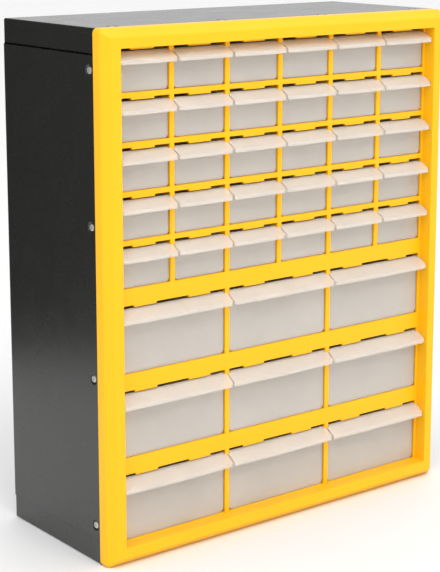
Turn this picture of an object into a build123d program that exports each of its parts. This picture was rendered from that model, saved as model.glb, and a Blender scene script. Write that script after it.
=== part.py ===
"""Parts bin cabinet: a folded steel shell, a moulded front frame and rows of translucent drawers.

Millimetres, +Z up. The origin is on the base, at the middle of the footprint. The front is
at -Y, where the drawers pull out, and the back is at +Y, where the cabinet can hang on a wall.
"""
import copy
import math
import os

from build123d import *

# Whole cabinet
WIDTH = 400.0
HEIGHT = 475.0
DEPTH = 165.0
FRONT_Y = -DEPTH / 2
BACK_Y = DEPTH / 2
MIDDLE_Z = HEIGHT / 2

# Drawer grid: six columns, of which two make one wide column
COLUMN_PITCH = 61.2
DIVIDER = 5.0
COLUMNS = 6
WIDE_COLUMNS = 3
SMALL_ROWS = 5
LARGE_ROWS = 3
SMALL_OPEN_WIDTH = COLUMN_PITCH - DIVIDER
LARGE_OPEN_WIDTH = 2 * COLUMN_PITCH - DIVIDER
SMALL_OPEN_HEIGHT = 36.1
LARGE_OPEN_HEIGHT = 59.5
SMALL_ROW_PITCH = 42.65
LARGE_ROW_PITCH = 76.7
BOTTOM_MARGIN = 18.6
SMALL_BASE = BOTTOM_MARGIN + LARGE_ROWS * LARGE_ROW_PITCH
GRID_WIDTH = COLUMNS * COLUMN_PITCH - DIVIDER
GRID_TOP = SMALL_BASE + (SMALL_ROWS - 1) * SMALL_ROW_PITCH + SMALL_OPEN_HEIGHT

# Front frame, one moulding
FRAME_DEPTH = 18.0
SHELL_Y = FRONT_Y + FRAME_DEPTH
FRAME_CORNER = 4.5
FRONT_CORNER = 1.2
BEVEL_WIDE = 7.5
BEVEL_DEEP = 8.5
RECESS_DEEP = 12.6
RECESS_SIDE_MARGIN = 2.1
RECESS_LOW_MARGIN = 0.5
RECESS_TOP_MARGIN = 2.3
RECESS_DRAFT = 2.0
FRAME_WALL = 2.5
GRID_Y = FRONT_Y + RECESS_DEEP
GRID_BACK_Y = GRID_Y + FRAME_WALL
SKIRT_INSET = 2.4
SKIRT_DEEP = 14.0
BOSS_SIZE = 9.0
BOSS_DEEP = 5.5

# How far a cutting shape runs past the face that it cuts
OVERCUT = 1.0

# Guides behind the grid face, one moulding for each row of drawers
GUIDE_DEEP = 55.5
GUIDE_END_Y = GRID_BACK_Y + GUIDE_DEEP
GUIDE_FLOOR = 2.0
GUIDE_WALL = 2.0
FENCE_HEIGHT = 2.0
CHEEK_DEEP = 12.5
CHEEK_SLOPE = 4.0

# Notches in the head of each opening, as (distance from its left edge, length)
NOTCH_HEIGHT = 1.8
SMALL_NOTCHES = ((0.0, 16.0), (SMALL_OPEN_WIDTH - 16.0, 16.0))
LARGE_NOTCHES = ((0.0, 17.0), (LARGE_OPEN_WIDTH / 2 - 17.5, 35.0), (LARGE_OPEN_WIDTH - 17.0, 17.0))

# Folded steel shell
SHEET = 1.0
PAN_SHOWS = 22.5
PAN_LAP = 6.0
WRAP_BEND = 2.0
PAN_BEND = 1.8
WRAP_LOW_Z = PAN_SHOWS
WRAP_HIGH_Z = HEIGHT - PAN_SHOWS

# Screws that hold the frame's skirt inside the shell, each in a pressed dimple. All of them
# are drawn with a few flat sides, because there are so many.
FASTENER_SIDES = 8
SCREW_SETBACK = 6.5
SIDE_SCREW_PITCH = 134.5
TOP_SCREW_PITCH = 117.3
SCREWS_PER_SIDE = 4
DIMPLE_DEEP = SKIRT_INSET - SHEET
DIMPLE_RIM_RADIUS = 5.3
DIMPLE_FLOOR_RADIUS = 3.9
DIMPLE_SLOPE = (DIMPLE_RIM_RADIUS - DIMPLE_FLOOR_RADIUS) / DIMPLE_DEEP
DIMPLE_TAPER = math.degrees(math.atan(DIMPLE_SLOPE))
DIMPLE_BACK_RADIUS = DIMPLE_RIM_RADIUS + SHEET * (math.hypot(1, DIMPLE_SLOPE) - DIMPLE_SLOPE)
SCREW_HOLE_RADIUS = 2.1
PILOT_RADIUS = 1.5
PILOT_DEEP = 7.3
SHANK_RADIUS = 1.75
SHANK_LENGTH = 8.5
HEAD_RADIUS = 3.1
HEAD_HEIGHT = 1.3

# Keyhole slots in the back sheet
KEYHOLE_PITCH = 260.0
KEYHOLE_Z = 400.0
KEYHOLE_RADIUS = 4.0
KEYHOLE_SLOT_WIDTH = 4.0
KEYHOLE_SLOT_RISE = 11.0

# Drawers
DRAWER_SIDE_GAP = 0.7
DRAWER_FLOOR_GAP = 0.3
DRAWER_HEAD_GAP = 1.0
DRAWER_SETBACK = 1.8
DRAWER_DEPTH = 138.0
DRAWER_WALL = 1.2
DRAWER_FRONT_WALL = 1.5
SMALL_DRAWER_CORNER = 3.5
LARGE_DRAWER_CORNER = 4.5
STOP_TAB_RISE = 1.5
STOP_TAB_WIDTH = 16.0
LIP_GAP = 0.3
LIP_SIDE_GAP = 0.95
LIP_REACH = 12.3
LIP_THICKNESS = 1.6
LIP_ROOT = 2.0
LIP_CORNER = 2.2
RIM_HEIGHT = 1.4
RIM_DEEP = 1.6
SMALL_LIP_DROP = 6.9
LARGE_LIP_DROP = 7.9
SLOT_RIB = 1.0
SLOT_GAP = 1.6

os.makedirs("parts", exist_ok=True)


def write(shape, label):
    """Label one finished piece and write it to its own file."""
    shape.label = label
    export_step(shape, f"parts/{label}.step")


def facing_front(y):
    """A plane at this Y whose X runs to the right, Y up, and normal out of the front."""
    return Plane.XZ.offset(-y)


def small_cells():
    """Left edge and floor height of each small opening, as (row, column, x, z)."""
    for row in range(SMALL_ROWS):
        z = SMALL_BASE + (SMALL_ROWS - 1 - row) * SMALL_ROW_PITCH
        for column in range(COLUMNS):
            yield row + 1, column + 1, -GRID_WIDTH / 2 + column * COLUMN_PITCH, z


def large_cells():
    """Left edge and floor height of each large opening, as (row, column, x, z)."""
    for row in range(LARGE_ROWS):
        z = BOTTOM_MARGIN + (LARGE_ROWS - 1 - row) * LARGE_ROW_PITCH
        for column in range(WIDE_COLUMNS):
            yield row + 1, column + 1, -GRID_WIDTH / 2 + 2 * column * COLUMN_PITCH, z


def side_screw_planes(side):
    """Planes on the outer side face, facing out: side is -1 for left and +1 for right."""
    heights = [MIDDLE_Z + (i - 1.5) * SIDE_SCREW_PITCH for i in range(SCREWS_PER_SIDE)]
    y = SHELL_Y + SCREW_SETBACK
    return [Plane((side * WIDTH / 2, y, z), x_dir=(0, 1, 0), z_dir=(side, 0, 0)) for z in heights]


def pan_screw_planes(z, side):
    """Planes on the top (+1) or the bottom (-1) face, facing out."""
    places = [(i - 1.5) * TOP_SCREW_PITCH for i in range(SCREWS_PER_SIDE)]
    y = SHELL_Y + SCREW_SETBACK
    return [Plane((x, y, z), x_dir=(1, 0, 0), z_dir=(0, 0, side)) for x in places]


LEFT_SCREWS = side_screw_planes(-1)
RIGHT_SCREWS = side_screw_planes(1)
TOP_SCREWS = pan_screw_planes(HEIGHT, 1)
BOTTOM_SCREWS = pan_screw_planes(0, -1)


def press_dimples(planes):
    """Press a dimple into the sheet under each plane and pierce its floor for the screw."""
    with BuildSketch(*[plane.offset(-SHEET) for plane in planes]) as dimple_backs:
        RegularPolygon(DIMPLE_BACK_RADIUS, FASTENER_SIDES)
    extrude(dimple_backs.sketch, amount=-DIMPLE_DEEP, taper=DIMPLE_TAPER)
    with BuildSketch(*planes) as dimple_mouths:
        RegularPolygon(DIMPLE_RIM_RADIUS, FASTENER_SIDES)
    extrude(dimple_mouths.sketch, amount=-DIMPLE_DEEP, taper=DIMPLE_TAPER, mode=Mode.SUBTRACT)
    with BuildSketch(*planes) as screw_holes:
        RegularPolygon(SCREW_HOLE_RADIUS, FASTENER_SIDES)
    extrude(screw_holes.sketch, amount=-(DIMPLE_DEEP + 2 * SHEET), mode=Mode.SUBTRACT)


# The steel wrap: left side, back and right side folded from one sheet
with BuildPart() as side_back_wrap:
    with BuildSketch(Plane.XY.offset(WRAP_LOW_Z)):
        with Locations((0, (SHELL_Y + BACK_Y) / 2)):
            outline = Rectangle(WIDTH, BACK_Y - SHELL_Y)
        fillet(outline.vertices().group_by(Axis.Y)[-1], WRAP_BEND)
        with Locations((0, (SHELL_Y + BACK_Y) / 2 - SHEET)):
            Rectangle(WIDTH - 2 * SHEET, BACK_Y - SHELL_Y, mode=Mode.SUBTRACT)
    extrude(amount=WRAP_HIGH_Z - WRAP_LOW_Z)
    press_dimples(LEFT_SCREWS + RIGHT_SCREWS)
    # Keyholes: a round hole that a screw head passes, with a slot that rises from it
    with BuildSketch(facing_front(BACK_Y)):
        with Locations((-KEYHOLE_PITCH / 2, KEYHOLE_Z), (KEYHOLE_PITCH / 2, KEYHOLE_Z)):
            Circle(KEYHOLE_RADIUS)
        slot_middle = KEYHOLE_Z + KEYHOLE_SLOT_RISE / 2
        with Locations((-KEYHOLE_PITCH / 2, slot_middle), (KEYHOLE_PITCH / 2, slot_middle)):
            SlotCenterToCenter(KEYHOLE_SLOT_RISE, KEYHOLE_SLOT_WIDTH, rotation=90)
    extrude(amount=2 * SHEET, mode=Mode.SUBTRACT)
write(side_back_wrap.part, "side_back_wrap")


def fold_pan(planes):
    """The top pan: a plate whose side and rear flanges go down inside the wrap."""
    pan_width = WIDTH - 2 * SHEET
    pan_back_y = BACK_Y - SHEET
    flange = PAN_SHOWS + PAN_LAP
    with BuildPart() as pan:
        with BuildSketch(facing_front(SHELL_Y)):
            with Locations((0, HEIGHT - flange / 2)):
                outline = Rectangle(pan_width, flange)
            fillet(outline.vertices().group_by(Axis.Y)[-1], PAN_BEND)
            with Locations((0, HEIGHT - flange / 2 - SHEET)):
                Rectangle(pan_width - 2 * SHEET, flange, mode=Mode.SUBTRACT)
        extrude(amount=-(pan_back_y - SHELL_Y))
        with BuildSketch(facing_front(pan_back_y)):
            with Locations((0, HEIGHT - flange / 2)):
                rear_outline = Rectangle(pan_width, flange)
            fillet(rear_outline.vertices().group_by(Axis.Y)[-1], PAN_BEND)
        extrude(amount=SHEET)
        press_dimples(planes)
    return pan.part


top_pan = fold_pan(TOP_SCREWS)
write(top_pan, "top_pan")
write(top_pan.mirror(Plane.XY.offset(MIDDLE_Z)), "bottom_pan")


# The channel inside the bezel, open at the back, that leaves the bezel one wall thick and
# stops at the back of the grid face, which stands in a block of its own
block_width = GRID_WIDTH + 2 * (RECESS_SIDE_MARGIN + FRAME_WALL)
block_low_z = BOTTOM_MARGIN - RECESS_LOW_MARGIN - FRAME_WALL
block_high_z = GRID_TOP + RECESS_TOP_MARGIN + FRAME_WALL
channel_inset = SKIRT_INSET + FRAME_WALL
bevel_start_y = FRONT_Y + BEVEL_DEEP
channel_end_y = FRONT_Y + FRAME_WALL
channel_end_inset = channel_inset + BEVEL_WIDE * (bevel_start_y - channel_end_y) / BEVEL_DEEP

with BuildPart() as channel:
    with BuildSketch(facing_front(SHELL_Y + SKIRT_DEEP)):
        with Locations((0, MIDDLE_Z)):
            Rectangle(WIDTH - 2 * channel_inset, HEIGHT - 2 * channel_inset)
    extrude(amount=SHELL_Y + SKIRT_DEEP - bevel_start_y)
    with BuildSketch(facing_front(bevel_start_y)):
        with Locations((0, MIDDLE_Z)):
            Rectangle(WIDTH - 2 * channel_inset, HEIGHT - 2 * channel_inset)
    with BuildSketch(facing_front(channel_end_y)):
        with Locations((0, MIDDLE_Z)):
            Rectangle(WIDTH - 2 * channel_end_inset, HEIGHT - 2 * channel_end_inset)
    loft(ruled=True)
    with BuildSketch(facing_front(GRID_BACK_Y)):
        with Locations((0, (block_low_z + block_high_z) / 2)):
            Rectangle(block_width, block_high_z - block_low_z)
    extrude(amount=GRID_BACK_Y - FRONT_Y, mode=Mode.SUBTRACT)


def cut_openings(cells, width, height, notches):
    """Cut openings through the grid face, each with shallow notches in its head."""
    with BuildSketch(facing_front(GRID_BACK_Y)) as openings:
        for _, _, x, z in cells:
            with Locations((x + width / 2, z + height / 2)):
                Rectangle(width, height)
            for start, length in notches:
                with Locations((x + start + length / 2, z + height + NOTCH_HEIGHT / 2)):
                    Rectangle(length, NOTCH_HEIGHT)
    extrude(openings.sketch, amount=2 * FRAME_WALL, mode=Mode.SUBTRACT)


# The front frame: bevelled bezel, recessed grid face and a skirt
with BuildPart() as front_frame:
    with BuildSketch(facing_front(SHELL_Y)):
        with Locations((0, MIDDLE_Z)):
            RectangleRounded(WIDTH, HEIGHT, FRAME_CORNER)
    extrude(amount=FRAME_DEPTH - BEVEL_DEEP)
    with BuildSketch(facing_front(bevel_start_y)):
        with Locations((0, MIDDLE_Z)):
            RectangleRounded(WIDTH, HEIGHT, FRAME_CORNER)
    with BuildSketch(facing_front(FRONT_Y)):
        with Locations((0, MIDDLE_Z)):
            RectangleRounded(WIDTH - 2 * BEVEL_WIDE, HEIGHT - 2 * BEVEL_WIDE, FRONT_CORNER)
    loft(ruled=True)
    # Skirt that slips inside the steel shell
    with BuildSketch(facing_front(SHELL_Y)):
        with Locations((0, MIDDLE_Z)):
            Rectangle(WIDTH - 2 * SKIRT_INSET, HEIGHT - 2 * SKIRT_INSET)
    extrude(amount=-SKIRT_DEEP)
    add(channel.part, mode=Mode.SUBTRACT)
    # Recess in front of the grid, with a little draft
    with BuildSketch(facing_front(GRID_Y)):
        recess_low_z = BOTTOM_MARGIN - RECESS_LOW_MARGIN
        recess_high_z = GRID_TOP + RECESS_TOP_MARGIN
        with Locations((0, (recess_low_z + recess_high_z) / 2)):
            Rectangle(GRID_WIDTH + 2 * RECESS_SIDE_MARGIN, recess_high_z - recess_low_z)
    extrude(amount=RECESS_DEEP + OVERCUT, taper=-RECESS_DRAFT, mode=Mode.SUBTRACT)
    cut_openings(small_cells(), SMALL_OPEN_WIDTH, SMALL_OPEN_HEIGHT, SMALL_NOTCHES)
    cut_openings(large_cells(), LARGE_OPEN_WIDTH, LARGE_OPEN_HEIGHT, LARGE_NOTCHES)
    # Square bosses inside the skirt, and the pilot holes that the screws cut into
    screw_planes = LEFT_SCREWS + RIGHT_SCREWS + TOP_SCREWS + BOTTOM_SCREWS
    with BuildSketch(*[plane.offset(-channel_inset) for plane in screw_planes]):
        Rectangle(BOSS_SIZE, BOSS_SIZE)
    extrude(amount=-BOSS_DEEP)
    with BuildSketch(*[plane.offset(-SKIRT_INSET) for plane in screw_planes]):
        RegularPolygon(PILOT_RADIUS, FASTENER_SIDES)
    extrude(amount=-PILOT_DEEP, mode=Mode.SUBTRACT)
write(front_frame.part, "front_frame")


def mould_guide(z, open_height, columns):
    """The guide of one row: a shelf level with the sill of its openings, and dividers.

    A divider stands as high as the opening where it meets the grid face, and steps down to
    a low fence that keeps the drawers apart.
    """
    pitch = (GRID_WIDTH + DIVIDER) / columns
    first_x = -(GRID_WIDTH + DIVIDER) / 2
    places = [first_x + pitch * i - GUIDE_WALL / 2 for i in range(columns + 1)]
    with BuildPart() as guide:
        with BuildSketch(Plane.XY.offset(z - GUIDE_FLOOR)):
            with Locations((0, (GRID_BACK_Y + GUIDE_END_Y) / 2)):
                Rectangle(GRID_WIDTH + DIVIDER + GUIDE_WALL, GUIDE_DEEP)
        extrude(amount=GUIDE_FLOOR)
        with BuildSketch(*[Plane.YZ.offset(x) for x in places]):
            with BuildLine():
                cheek_end_y = GRID_BACK_Y + CHEEK_DEEP
                Polyline((GRID_BACK_Y, z), (GUIDE_END_Y, z), (GUIDE_END_Y, z + FENCE_HEIGHT),
                         (cheek_end_y + CHEEK_SLOPE, z + FENCE_HEIGHT),
                         (cheek_end_y, z + open_height), (GRID_BACK_Y, z + open_height),
                         close=True)
            make_face()
        extrude(amount=GUIDE_WALL)
    return guide.part


for row in range(SMALL_ROWS):
    z = SMALL_BASE + (SMALL_ROWS - 1 - row) * SMALL_ROW_PITCH
    write(mould_guide(z, SMALL_OPEN_HEIGHT, COLUMNS), f"guide_small_r{row + 1}")

for row in range(LARGE_ROWS):
    z = BOTTOM_MARGIN + (LARGE_ROWS - 1 - row) * LARGE_ROW_PITCH
    write(mould_guide(z, LARGE_OPEN_HEIGHT, WIDE_COLUMNS), f"guide_large_r{row + 1}")


# One pan-head screw, its head's seat at the origin and its point towards -Z
with BuildPart() as screw:
    with BuildSketch():
        RegularPolygon(HEAD_RADIUS, FASTENER_SIDES)
    extrude(amount=HEAD_HEIGHT)
    with BuildSketch():
        RegularPolygon(SHANK_RADIUS, FASTENER_SIDES)
    extrude(amount=-SHANK_LENGTH)


def write_screws(planes, label):
    """Four screws, each seated on the floor of its dimple."""
    seats = [plane.offset(-DIMPLE_DEEP).location for plane in planes]
    with BuildPart() as screws:
        with Locations(*seats):
            add(screw.part)
    write(screws.part, label)


write_screws(LEFT_SCREWS, "screws_left")
write_screws(RIGHT_SCREWS, "screws_right")
write_screws(TOP_SCREWS, "screws_top")
write_screws(BOTTOM_SCREWS, "screws_bottom")


def mould_drawer(open_width, open_height, corner, lip_drop, tab_places, divider_slot):
    """One drawer, with the lower left corner of its opening at X = 0, Z = 0.

    It is an open tub with a sloping lip along the top of its front wall. The tabs on the
    rear wall rise above the opening's head and stop the drawer behind the grid face.
    """
    middle = open_width / 2
    width = open_width - 2 * DRAWER_SIDE_GAP
    low_z = DRAWER_FLOOR_GAP
    high_z = open_height - DRAWER_HEAD_GAP
    front_y = GRID_Y + DRAWER_SETBACK
    rear_y = front_y + DRAWER_DEPTH
    inner_low_z = low_z + DRAWER_WALL
    with BuildPart() as drawer:
        with BuildSketch(facing_front(front_y)):
            with Locations((middle, (low_z + high_z) / 2)):
                outline = Rectangle(width, high_z - low_z)
            fillet(outline.vertices().group_by(Axis.Y)[0], corner)
        extrude(amount=-DRAWER_DEPTH)
        with BuildSketch(facing_front(front_y + DRAWER_FRONT_WALL)):
            with Locations((middle, (inner_low_z + high_z) / 2)):
                hollow = Rectangle(width - 2 * DRAWER_WALL, high_z - inner_low_z)
            # Flats as far from the outer corners as the walls are thick
            inner_flat = (corner - DRAWER_WALL) * (2 - math.sqrt(2))
            chamfer(hollow.vertices().group_by(Axis.Y)[0], inner_flat)
        hollow_depth = DRAWER_DEPTH - DRAWER_FRONT_WALL - DRAWER_WALL
        extrude(amount=-hollow_depth, mode=Mode.SUBTRACT)
        # Stop tabs that stand on the rear wall
        tab_rise = DRAWER_HEAD_GAP + STOP_TAB_RISE
        with BuildSketch(facing_front(rear_y)):
            with Locations(*[(place, high_z + tab_rise / 2) for place in tab_places]):
                Rectangle(STOP_TAB_WIDTH, tab_rise)
        extrude(amount=DRAWER_WALL)
        # Sloping lip, drawn in section from the side and trimmed to its plan
        lip_width = open_width + DIVIDER - 2 * LIP_SIDE_GAP
        lip_end_y = front_y - LIP_REACH
        lip_end_z = high_z - lip_drop
        rim_low_z = lip_end_z - LIP_THICKNESS - RIM_HEIGHT
        rim_root_z = lip_end_z - LIP_THICKNESS + RIM_DEEP * lip_drop / LIP_REACH
        with BuildSketch(Plane.YZ.offset(middle - lip_width / 2)):
            with BuildLine():
                Polyline((front_y, high_z), (lip_end_y, lip_end_z),
                         (lip_end_y, rim_low_z), (lip_end_y + RIM_DEEP, rim_low_z),
                         (lip_end_y + RIM_DEEP, rim_root_z), (front_y, high_z - LIP_ROOT),
                         close=True)
            make_face()
        lip = extrude(amount=lip_width, mode=Mode.PRIVATE)
        with BuildSketch(Plane.XY.offset(-OVERCUT)):
            wing_y = GRID_Y - LIP_GAP
            right_side = [(lip_width / 2 - LIP_CORNER, lip_end_y),
                          (lip_width / 2, lip_end_y + LIP_CORNER), (lip_width / 2, wing_y),
                          (width / 2, wing_y), (width / 2, front_y)]
            left_side = [(-x, y) for x, y in reversed(right_side)]
            with Locations((middle, 0)):
                Polygon(*right_side, *left_side, align=None)
        lip_prism = extrude(amount=open_height + 2 * OVERCUT, mode=Mode.PRIVATE)
        add(lip.intersect(lip_prism))
        # Pair of ribs on each end wall that take a partition
        if divider_slot:
            rib_z = (inner_low_z + high_z) / 2
            for rib_y in (front_y + DRAWER_FRONT_WALL, rear_y - DRAWER_WALL - SLOT_RIB):
                with BuildSketch(facing_front(rib_y)):
                    with GridLocations(SLOT_GAP + SLOT_RIB, 1, 2, 1):
                        with Locations((middle, rib_z)):
                            Rectangle(SLOT_RIB, high_z - inner_low_z)
                extrude(amount=-SLOT_RIB)
    return drawer.part


small_drawer = mould_drawer(SMALL_OPEN_WIDTH, SMALL_OPEN_HEIGHT, SMALL_DRAWER_CORNER,
                            SMALL_LIP_DROP, (SMALL_OPEN_WIDTH / 2,), False)
large_drawer = mould_drawer(LARGE_OPEN_WIDTH, LARGE_OPEN_HEIGHT, LARGE_DRAWER_CORNER,
                            LARGE_LIP_DROP, (29.0, LARGE_OPEN_WIDTH - 29.0), True)

for row, column, x, z in small_cells():
    write(copy.copy(small_drawer).moved(Location((x, 0, z))), f"drawer_small_r{row}_c{column}")

for row, column, x, z in large_cells():
    write(copy.copy(large_drawer).moved(Location((x, 0, z))), f"drawer_large_r{row}_c{column}")
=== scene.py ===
"""Looks of a parts bin cabinet: a yellow moulded front, a dark painted steel shell and frosted bins.

Sizes are in metres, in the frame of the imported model: the base stands on Z = 0, the front faces
-Y, and X = 0 is the middle of the cabinet. Names that end in _mm are in millimetres.
"""
import math

import bmesh
import bpy
from bpy.props import FloatProperty, FloatVectorProperty, PointerProperty
from bpy.types import Operator, Panel, PropertyGroup
from mathutils import Matrix, Vector


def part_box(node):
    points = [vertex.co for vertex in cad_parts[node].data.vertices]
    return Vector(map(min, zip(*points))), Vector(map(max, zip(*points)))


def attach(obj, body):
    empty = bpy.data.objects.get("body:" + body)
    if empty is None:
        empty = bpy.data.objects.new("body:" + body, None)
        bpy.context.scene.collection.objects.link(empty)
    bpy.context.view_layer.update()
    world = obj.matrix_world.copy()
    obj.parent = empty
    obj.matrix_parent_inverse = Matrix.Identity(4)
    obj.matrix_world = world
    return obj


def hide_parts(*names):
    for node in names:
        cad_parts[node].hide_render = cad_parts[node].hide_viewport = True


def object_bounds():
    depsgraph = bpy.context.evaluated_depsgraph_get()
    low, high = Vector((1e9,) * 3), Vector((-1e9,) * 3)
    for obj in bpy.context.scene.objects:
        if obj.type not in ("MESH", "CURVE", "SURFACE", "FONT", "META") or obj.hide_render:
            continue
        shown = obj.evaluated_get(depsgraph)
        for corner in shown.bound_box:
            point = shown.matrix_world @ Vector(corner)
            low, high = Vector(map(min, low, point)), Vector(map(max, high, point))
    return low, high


bl_info = {
    "name": "Parts Bin Cabinet",
    "version": (1, 0, 0),
    "blender": (4, 5, 0),
    "location": "3D View > Sidebar > Cabinet",
    "description": "Dresses a parts bin cabinet with its mouldings, painted sheet, screws and bins",
    "category": "Object",
}

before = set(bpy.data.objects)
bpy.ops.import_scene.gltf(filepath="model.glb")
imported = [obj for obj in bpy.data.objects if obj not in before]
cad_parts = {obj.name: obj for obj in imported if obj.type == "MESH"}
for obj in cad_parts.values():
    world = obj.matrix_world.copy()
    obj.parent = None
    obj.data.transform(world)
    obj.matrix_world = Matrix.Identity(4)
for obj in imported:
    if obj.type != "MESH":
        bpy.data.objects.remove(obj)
CAD_LOW, CAD_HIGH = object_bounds()

MM = 0.001
CABINET_BODY = "cabinet"

# Drawer grid: six columns, of which two make one wide column
SMALL_ROWS = 5
SMALL_COLUMNS = 6
LARGE_ROWS = 3
LARGE_COLUMNS = 3
COLUMN_PITCH = 61.2 * MM
DIVIDER = 5.0 * MM
SMALL_OPEN_HEIGHT = 36.1 * MM
LARGE_OPEN_HEIGHT = 59.5 * MM
SMALL_ROW_PITCH = 42.65 * MM
LARGE_ROW_PITCH = 76.7 * MM
GRID_LOW_Z = 18.6 * MM
GRID_WIDTH = SMALL_COLUMNS * COLUMN_PITCH - DIVIDER
SMALL_BASE_Z = GRID_LOW_Z + LARGE_ROWS * LARGE_ROW_PITCH
GRID_TOP_Z = SMALL_BASE_Z + (SMALL_ROWS - 1) * SMALL_ROW_PITCH + SMALL_OPEN_HEIGHT

# Notches in the head of each opening, as (start, end) from its left edge
NOTCH_HEIGHT = 1.8 * MM
SMALL_NOTCHES = ((0.0, 16.0 * MM), (40.2 * MM, 56.2 * MM))
LARGE_NOTCHES = ((0.0, 17.0 * MM), (41.2 * MM, 76.2 * MM), (100.4 * MM, 117.4 * MM))

# Front moulding, in the sizes of its CAD node, whose recess and skirt have sharp corners
FRAME_DEPTH = 18.0 * MM
FRAME_CORNER = 4.5 * MM
FRONT_CORNER = 1.2 * MM
BEVEL_WIDE = 7.5 * MM
BEVEL_DEEP = 8.5 * MM
RECESS_DEEP = 12.6 * MM
RECESS_CORNER = 0.6 * MM
RECESS_FLARE = 0.44 * MM
RECESS_SIDE = 2.1 * MM
RECESS_LOW = 0.5 * MM
RECESS_TOP = 2.3 * MM
FRAME_WALL = 2.5 * MM
SKIRT_INSET = 2.4 * MM
SKIRT_DEEP = 14.0 * MM
CORNER_STEPS = 6
# Points of a rounded corner lie within this distance of both sides that meet there
CORNER_REACH = FRAME_CORNER * 1.01

# Rounding of the bezel's outer and inner rim, which its CAD node lacks
OUTER_RIM_ROUND = 1.6 * MM
INNER_RIM_ROUND = 1.3 * MM
RIM_STEPS = 3
# How far an outline that is flush with its neighbour stands off while the two are bridged
STAND_BACK = 3.0 * MM

# A pan-head screw, with its seat at Z = 0 before it is placed
HEAD_RADIUS = 3.05 * MM
HEAD_HEIGHT = 1.3 * MM
HEAD_ROUND = 0.75 * MM
HEAD_STEPS = 4
SHANK_RADIUS = 1.6 * MM
SHANK_LENGTH = 8.4 * MM
SCREW_FACETS = 24
CROSS_WIDE = 0.75 * MM
CROSS_LONG = 3.3 * MM
CROSS_DEEP = 0.8 * MM

# Where the screws sit: on the floors of the dimples, in a row round the cabinet
SEAT_DEPTH = 1.4 * MM
SCREW_Y = -58.0 * MM
SCREWS_PER_SIDE = 4
SIDE_SCREW_PITCH = 134.5 * MM
PAN_SCREW_PITCH = 117.3 * MM
# Each side of the cabinet, with the turn that points a screw out of it, in degrees
SCREW_TURNS = {"left": (-90.0, "Y"), "right": (90.0, "Y"), "top": (0.0, "X"), "bottom": (180.0, "X")}

# Bosses under the screws, as heights from their seats; each reaches a little into the skirt's wall
BOSS_SIZE = 9.0 * MM
BOSS_HIGH = -3.3 * MM
BOSS_LOW = -9.0 * MM

# Bins, close to the sizes of their CAD nodes
SMALL_CORNER = 3.5 * MM
SMALL_LIP_DROP = 6.9 * MM
LARGE_CORNER = 4.5 * MM
LARGE_LIP_DROP = 7.9 * MM
LIP_REACH = 12.3 * MM
LIP_ROOT = 2.0 * MM
LIP_CORNER = 2.6 * MM
LIP_STEPS = 4
TUB_INNER_STEPS = 4
TUB_OUTER_STEPS = 5
RIM_DEEP = 1.6 * MM
RIM_DROP = 1.4 * MM
# The lip is wider than the tub by a wing on each side, over the front part of its reach
WING = 2.25 * MM
WING_DEPTH = 10.2 * MM
BOW_STRIPS = 8
TAB_RISE = 2.5 * MM
TAB_WIDE = 16.0 * MM
# A large bin's two tabs stand this far inside its opening, and its lip reaches past the opening
LARGE_TAB_INSET = 29.0 * MM
LIP_OVERHANG = 1.55 * MM
RIB = 1.0 * MM
RIB_GAP = 1.6 * MM

# Stage
SENSOR_WIDTH_MM = 36.0
VIEW_REACH = 200.0
KEY_PLACE = (-0.6, -1.6, 2.4)
KEY_AIM = (0.0, -0.08, 0.2)
KEY_WIDTH = 2.2
KEY_HEIGHT = 1.6
FLAG_WIDTH = 2.4
FLAG_HEIGHT = 1.6

# Tolerances of the tests that pick faces and edges
SAME_PLACE = 0.05 * MM
MARGIN = 0.1 * MM
FACES_ALONG = 0.9
FACES_ROUGHLY = 0.5
FOLDED_DEGREES = 45.0
# Decimals of a metre that a place in the grid is rounded to, so that equal places are one cut
PLACE_DECIMALS = 6

# Cleaning, rounding and shading of the meshes
MERGE_DISTANCE = 0.002 * MM
FLAT_DEGREES = 0.5
SHEET_FOLD_DEGREES = 30.0
BIN_FOLD_DEGREES = 50.0
SMOOTH_DEGREES = 40.0
EDGE_STEPS = 2

# How far outside the wrap's edges the seam's line of painted shade and its bump groove are centred
SEAM_OFFSET = 0.3 * MM
# The colour sockets of a Mix node, whose names its other sockets share
MIX_FIRST, MIX_SECOND, MIX_RESULT = 6, 7, 2


class FrameSettings(PropertyGroup):
    """The yellow front moulding."""

    edge_round: FloatProperty(
        name="Edge Round", description="Radius on the edges of the recess and the openings",
        default=0.45 * MM, min=0.0, subtype="DISTANCE", unit="LENGTH")
    colour: FloatVectorProperty(
        name="Colour", description="Colour of the yellow plastic", subtype="COLOR",
        default=(1.0, 0.515, 0.006), size=3, min=0.0, max=1.0)
    roughness: FloatProperty(
        name="Roughness", description="Roughness of the yellow plastic", default=0.42,
        min=0.0, max=1.0, subtype="FACTOR")


class ShellSettings(PropertyGroup):
    """The painted steel shell and the screws in it."""

    edge_round: FloatProperty(
        name="Edge Round", description="Radius on the cut edges of the sheet",
        default=0.2 * MM, min=0.0, subtype="DISTANCE", unit="LENGTH")
    colour: FloatVectorProperty(
        name="Paint", description="Colour of the powder coat", subtype="COLOR",
        default=(0.0215, 0.022, 0.02), size=3, min=0.0, max=1.0)
    roughness: FloatProperty(
        name="Roughness", description="Roughness of the powder coat", default=0.27,
        min=0.0, max=1.0, subtype="FACTOR")
    steel_colour: FloatVectorProperty(
        name="Screw Steel", description="Colour of the zinc on the screws", subtype="COLOR",
        default=(0.62, 0.61, 0.58), size=3, min=0.0, max=1.0)


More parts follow.
